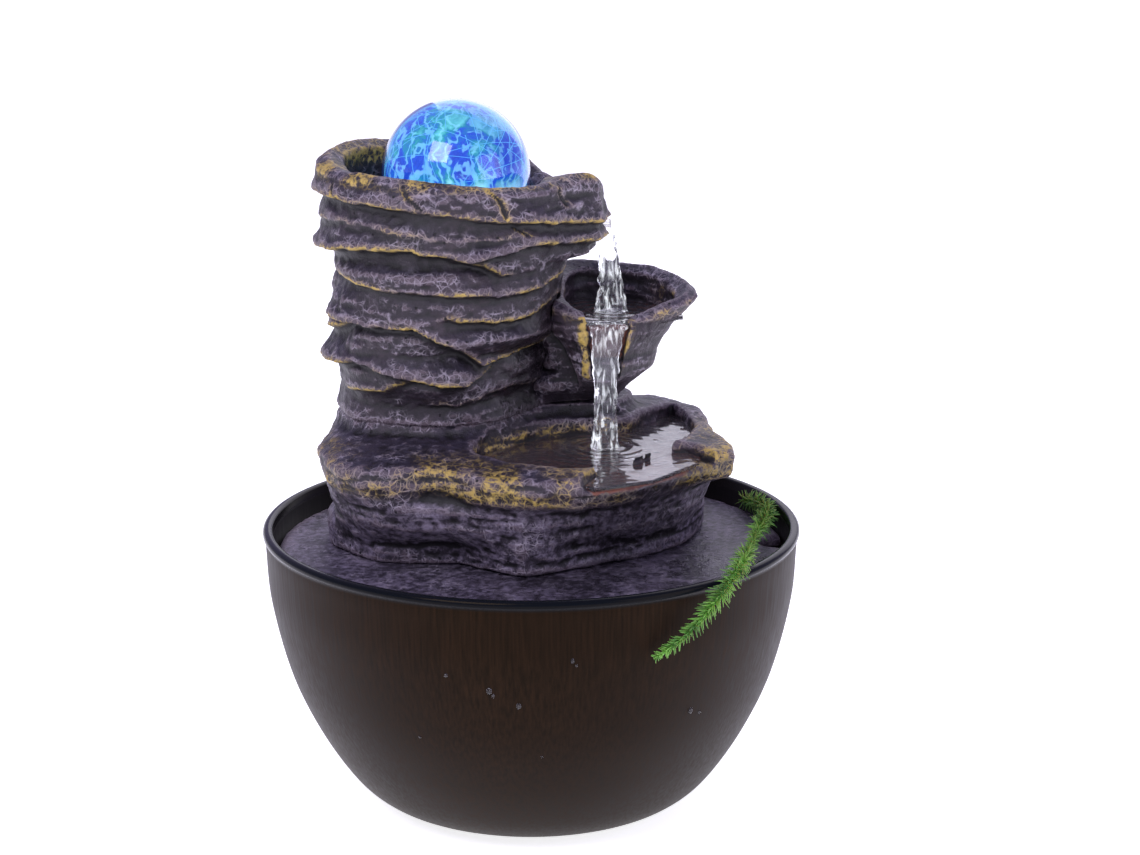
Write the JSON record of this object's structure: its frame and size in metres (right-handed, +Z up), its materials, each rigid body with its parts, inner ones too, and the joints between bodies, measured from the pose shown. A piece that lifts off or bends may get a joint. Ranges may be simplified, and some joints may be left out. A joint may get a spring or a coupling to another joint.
{
  "type": "tabletop water fountain",
  "caption": "Round bowl with a lift-off rock of stepped basins, a lit glass ball on top and a submersible pump inside.",
  "frame": {"origin": "centre of the underside, on the surface that the four foot pads stand on", "axes": "+Z up, -Y is the front, +X is the side with the small middle basin"},
  "size_m": [0.21, 0.21, 0.2776],
  "materials": {
    "bowl_plastic": "satin dark brown moulded plastic with fine upright brush marks and a blue-black rim",
    "rock_resin": "cast polyresin painted purple-brown, dry-brushed mustard on its ridges, black in its hollows",
    "ball_glass": "polished clear glass lit blue and green from below",
    "black_plastic": "moulded black plastic",
    "lamp_lens": "clear moulded plastic",
    "circuit_board": "green board",
    "led_resin": "clear epoxy, lit",
    "rubber": "matte black rubber",
    "hose_vinyl": "milky clear soft vinyl",
    "shaft_ceramic": "ground white ceramic",
    "ferrite": "ground grey-black ferrite",
    "white_plastic": "white moulded plastic",
    "filter_foam": "open black foam",
    "fern_green": "fresh green needle-like leaf"
  },
  "bodies": {
    "bowl": {"bowl": "bowl_plastic", "foot_pad_1": "rubber", "foot_pad_2": "rubber", "foot_pad_3": "rubber", "foot_pad_4": "rubber", "pump_body": "black_plastic", "cable_gland": "rubber", "suction_cup_1": "rubber", "suction_cup_2": "rubber", "suction_cup_3": "rubber", "suction_cup_4": "rubber", "impeller_cover": "black_plastic", "front_bush": "rubber", "rear_bush": "rubber", "rotor_shaft": "shaft_ceramic"},
    "rotor": {"impeller": "white_plastic", "rotor_magnet": "ferrite"},
    "strainer": {"strainer_cover": "black_plastic", "foam_filter": "filter_foam"},
    "flow_slider": {"flow_slider": "black_plastic"},
    "rock": {"base_plate": "rock_resin", "lower_basin": "rock_resin", "trunk": "rock_resin", "upper_basin": "rock_resin", "middle_basin": "rock_resin", "riser_tube": "hose_vinyl", "riser_grommet": "rubber", "lamp_housing": "black_plastic", "lamp_lens": "lamp_lens", "lamp_seal": "rubber", "lamp_board": "circuit_board", "led_1": "led_resin", "led_2": "led_resin", "led_3": "led_resin", "led_4": "led_resin", "lamp_lead": "rubber", "lamp_plug": "black_plastic", "fern_sprig": "fern_green"},
    "ball_seat": {"ball_seat_ring": "black_plastic"},
    "ball": {"glass_ball": "ball_glass"}
  },
  "joints": [
    {"name": "rock_lift", "type": "slide", "parent": "bowl", "child": "rock", "axis": [0, 0, 1], "range_m": [0, 0.12]},
    {"name": "seat_lift", "type": "slide", "parent": "rock", "child": "ball_seat", "axis": [0, 0, 1], "range_m": [0, 0.06]},
    {"name": "ball_spin", "type": "hinge", "parent": "ball_seat", "child": "ball", "pos_m": [-0.0287, 0.012, 0.2488], "axis": [0, 0, 1], "continuous": true},
    {"name": "rotor_spin", "type": "hinge", "parent": "bowl", "child": "rotor", "pos_m": [-0.0059, 0, 0.023], "axis": [1, 0, 0], "continuous": true},
    {"name": "strainer_pull", "type": "slide", "parent": "bowl", "child": "strainer", "axis": [-1, 0, 0], "range_m": [0, 0.012]},
    {"name": "flow_slide", "type": "slide", "parent": "strainer", "child": "flow_slider", "axis": [0, 0, 1], "range_m": [0, 0.006]}
  ]
}
